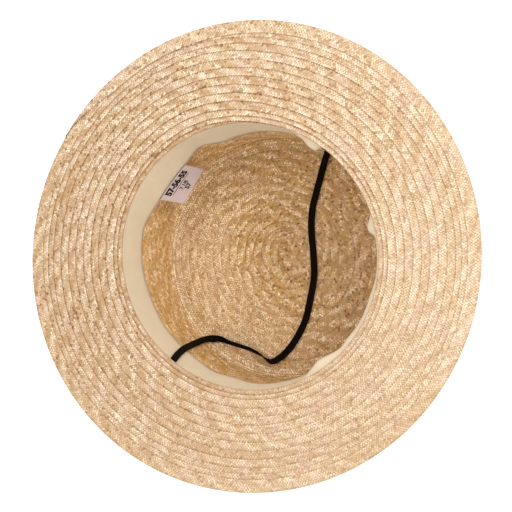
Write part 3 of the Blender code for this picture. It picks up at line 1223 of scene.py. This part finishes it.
@dataclass
class Elastic:
    """Flat elastic that hangs from both sides of the band and lies across the tip.

    Each row of its route is a place and the turn of the strip about its path, in degrees.
    """

    width: float = 0.0050
    thickness: float = 0.0010
    corner_radius: float = 0.0090
    steps: int = 420
    steps_a_knot: int = 16
    steps_a_place: int = 12
    side_points: int = 5
    face_points: int = 3
    route: tuple[tuple[float, float, float, float], ...] = (
        (-0.0896, -0.0010, 0.0860, 0), (-0.0878, 0.0024, 0.0725, 0), (-0.0854, 0.0050, 0.0575, 0),
        (-0.0853, 0.0072, 0.0420, 0), (-0.0846, 0.0088, 0.0260, 0), (-0.0832, 0.0094, 0.0140, 0),
        (-0.0803, 0.0072, 0.0064, 0), (-0.0761, 0.0012, 0.0048, 30), (-0.0738, -0.0056, 0.0054, 58),
        (-0.0709, -0.0127, 0.0056, 62), (-0.0679, -0.0205, 0.0056, 66), (-0.0661, -0.0280, 0.0057, 74),
        (-0.0656, -0.0345, 0.0057, 96), (-0.0644, -0.0392, 0.0053, 140), (-0.0598, -0.0417, 0.0042, 168),
        (-0.0531, -0.0432, 0.0035, 178), (-0.0440, -0.0434, 0.0034, 180), (-0.0345, -0.0422, 0.0033, 180),
        (-0.0240, -0.0396, 0.0033, 180), (-0.0112, -0.0336, 0.0033, 180), (0.0030, -0.0260, 0.0033, 180),
        (0.0146, -0.0164, 0.0033, 180), (0.0281, -0.0038, 0.0033, 180), (0.0399, 0.0046, 0.0033, 180),
        (0.0493, 0.0090, 0.0033, 180), (0.0614, 0.0141, 0.0033, 180), (0.0703, 0.0177, 0.0036, 180),
        (0.0762, 0.0192, 0.0060, 180), (0.0805, 0.0190, 0.0120, 180), (0.0830, 0.0178, 0.0220, 180),
        (0.0848, 0.0148, 0.0370, 180), (0.0854, 0.0115, 0.0510, 180), (0.0863, 0.0080, 0.0620, 180),
        (0.0882, 0.0045, 0.0750, 180), (0.0896, 0.0015, 0.0860, 180),
    )

    def path(self) -> Array:
        """Points and turns at even steps along a Catmull-Rom curve, a cubic through each pair of knots."""
        knots = np.array(self.route)
        padded = np.vstack([2 * knots[0] - knots[1], knots, 2 * knots[-1] - knots[-2]])
        a, b, c, d = [padded[k:len(padded) - 3 + k, None, :] for k in range(4)]
        t = np.linspace(0.0, 1.0, self.steps_a_knot, endpoint=False)[None, :, None]
        cubic = (3 * b - a - 3 * c + d) * t ** 3
        fine = 0.5 * (2 * b + (c - a) * t + (2 * a - 5 * b + 4 * c - d) * t ** 2 + cubic)
        fine = np.vstack([fine.reshape(-1, 4), knots[-1:]])
        run = path_run(fine[:, :3])
        even = np.linspace(0.0, run[-1], self.steps)
        return np.stack([np.interp(even, run, fine[:, k]) for k in range(4)], axis=1)

    def frames(self, path: Array) -> tuple[Array, Array]:
        """Width and thickness directions along the path.

        Args:
            path: points and turns along the elastic.

        Returns:
            The strip lies flat on the tip while it is low and flat against the wall above, and its width is
            then turned about the path by the route's turn.
        """
        along = np.gradient(path[:, :3], axis=0)
        along /= np.linalg.norm(along, axis=1, keepdims=True)
        inward = -path[:, :3] * (1.0, 1.0, 0.0)
        inward /= np.linalg.norm(inward, axis=1, keepdims=True)
        climb = np.clip(path[:, 2] / self.corner_radius - 0.5, 0.0, 1.0)[:, None]
        normal = np.array([0.0, 0.0, 1.0]) * (1.0 - climb) + inward * climb
        flat = np.cross(along, normal)
        flat /= np.linalg.norm(flat, axis=1, keepdims=True)
        turn = np.radians(path[:, 3])[:, None]
        wide = flat * np.cos(turn) + np.cross(along, flat) * np.sin(turn)
        return wide, np.cross(wide, along)

    def build(self, finish: bpy.types.Material) -> bpy.types.Object:
        """Builds the strip: a flat section with round edges along the path, closed at both ends.

        Args:
            finish: material of the elastic.

        Returns:
            The strip's object, whose two ends are fans of quads round the path's first and last point.
        """
        path = self.path()
        wide, thick = self.frames(path)
        bend = np.linspace(-math.pi / 2, math.pi / 2, self.side_points)
        core = (self.width - self.thickness) / 2
        across = np.linspace(-1.0, 1.0, self.face_points + 2)[1:-1]
        edge = core + np.cos(bend) * self.thickness / 2
        u = np.concatenate([edge, core * across[::-1], -edge, core * across])
        level = np.ones(self.face_points)
        v = np.concatenate([np.sin(bend), level, -np.sin(bend), -level]) * self.thickness / 2
        points = path[:, None, :3] + wide[:, None] * u[None, :, None] + thick[:, None] * v[None, :, None]
        ring = len(u)
        faces = grid_faces(len(path), ring, close_columns=True)
        length = float(path_run(path[:, :3])[-1])
        run = np.linspace(0.0, length, len(path))
        uv = np.stack(np.broadcast_arrays(run[:, None], u[None, :]), axis=-1).reshape(-1, 2)
        closed = np.concatenate([points.reshape(-1, 3), path[[0, -1], :3]])
        first, last = len(path) * ring, len(path) * ring + 1
        k = np.arange(0, ring, 2)
        start = np.stack([np.full(len(k), first), k, (k + 1) % ring, (k + 2) % ring], axis=-1)
        base = (len(path) - 1) * ring
        end = np.stack([np.full(len(k), last), base + (k + 2) % ring, base + (k + 1) % ring, base + k],
                       axis=-1)
        uv = np.concatenate([uv, [[0.0, 0.0], [run[-1], 0.0]]])
        obj = make_mesh("elastic_strip", closed, np.concatenate([faces, start, end]), finish, uv=uv)
        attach(obj, "root")
        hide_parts("elastic")
        return obj


@dataclass
class Camera:
    """The camera: high over the front of the hat, rolled so that the label is at the upper left."""

    target: tuple[float, float, float] = (0.0, 0.0, 0.0903)
    distance: float = 1.200
    tilt_deg: float = 18.0
    heading_deg: float = -3.0
    hat_turn_deg: float = -52.0
    pan_deg: float = 0.284
    focal_mm: float = 124.7

    def build(self) -> bpy.types.Object:
        """Builds the camera: straight over the hat, tilted by the least turn, then turned with the hat."""
        tilt, heading = math.radians(self.tilt_deg), math.radians(self.heading_deg)
        side = math.sin(tilt)
        back = Vector((side * math.cos(heading), side * math.sin(heading), math.cos(tilt)))
        least = Vector((0.0, 0.0, 1.0)).rotation_difference(back).to_matrix().to_4x4()
        turn = Matrix.Rotation(math.radians(self.hat_turn_deg), 4, "Z")
        pan = Matrix.Rotation(-math.radians(self.pan_deg), 4, "Y")
        place = Matrix.Translation(Vector(self.target) + turn @ back * self.distance)
        data = bpy.data.cameras.new("camera")
        data.lens = self.focal_mm
        data.clip_start, data.clip_end = 0.05, 20.0
        obj = add_object("camera", data)
        obj.matrix_world = place @ turn @ least @ pan
        bpy.context.scene.camera = obj
        return obj


@dataclass
class Studio:
    """Pale floor, one wide soft light from the upper right of the picture and a bright surround."""

    floor_size: float = 6.0
    key_place: tuple[float, float, float] = (0.71, -0.29, 0.64)
    key_size: float = 0.5
    key_power: float = 3.6
    surround: float = 1.34

    def build(self, finish: bpy.types.Material) -> bpy.types.Object:
        """Builds the floor, the square light that faces the hat, and the surround.

        Args:
            finish: material of the floor.

        Returns:
            The floor's object.
        """
        half = self.floor_size / 2
        corners = np.array([[-1.0, -1.0, 0.0], [1.0, -1.0, 0.0], [1.0, 1.0, 0.0], [-1.0, 1.0, 0.0]])
        floor = make_mesh("floor", half * corners, np.array([[0, 1, 2, 3]]), finish)
        light = bpy.data.lights.new("key", "AREA")
        light.size = self.key_size
        light.energy = self.key_power
        facing = Vector(self.key_place).to_track_quat("Z", "Y").to_matrix().to_4x4()
        add_object("key", light).matrix_world = Matrix.Translation(self.key_place) @ facing
        world = bpy.data.worlds.new("surround")
        world.use_nodes = True
        background = world.node_tree.nodes["Background"].inputs
        background["Color"].default_value = (1.0, 1.0, 1.0, 1.0)
        background["Strength"].default_value = self.surround
        bpy.context.scene.world = world
        bpy.context.scene.view_settings.view_transform = "Standard"
        return floor


def report(obj: bpy.types.Object) -> None:
    """Logs a piece's name and its number of triangles."""
    obj.data.calc_loop_triangles()
    LOG.info("%s: %d triangles", obj.name, len(obj.data.loop_triangles))


def main() -> None:
    """Builds the camera, the elastic, the straw, the cloth pieces and the studio, in that order."""
    logging.basicConfig(level=logging.INFO, format="%(name)s %(message)s")
    LOG.info("camera %s", Camera().build().name)
    elastic_cloth = ClothFinish("elastic_cloth", (0.0060, 0.0030, 0.0014), (900.0, 1300.0), sheen=0.0,
                                shine=0.05)
    report(Elastic().build(elastic_cloth.material()))
    pale = StrawFinish("pale_straw", (0.480, 0.295, 0.130), (0.725, 0.575, 0.405), (0.620, 0.425, 0.320),
                       roughness=0.52, shine=0.35)
    warm = StrawFinish("warm_straw", (0.530, 0.290, 0.062), (0.880, 0.660, 0.410), (0.680, 0.430, 0.250))
    pale_straw, warm_straw = pale.material(), warm.material()
    for piece, straw in ((Brim(), pale_straw), (CrownSide(), warm_straw), (CrownTip(), warm_straw)):
        for obj in piece.build(straw):
            report(obj)
    band = Sweatband()
    band_cloth = ClothFinish("band_cloth", (0.65, 0.535, 0.370), (1400.0, 1400.0))
    report(band.build(band_cloth.material()))
    label_cloth = ClothFinish("label_cloth", (0.520, 0.400, 0.370), (1200.0, 1500.0), unevenness=0.08)
    ink = ClothFinish("label_ink", (0.010, 0.008, 0.010), (1200.0, 1500.0), sheen=0.0)
    for obj in Label(band).build(label_cloth.material(), ink.material()):
        report(obj)
    Studio().build(FloorFinish().material())


if __name__ == "__main__":
    main()
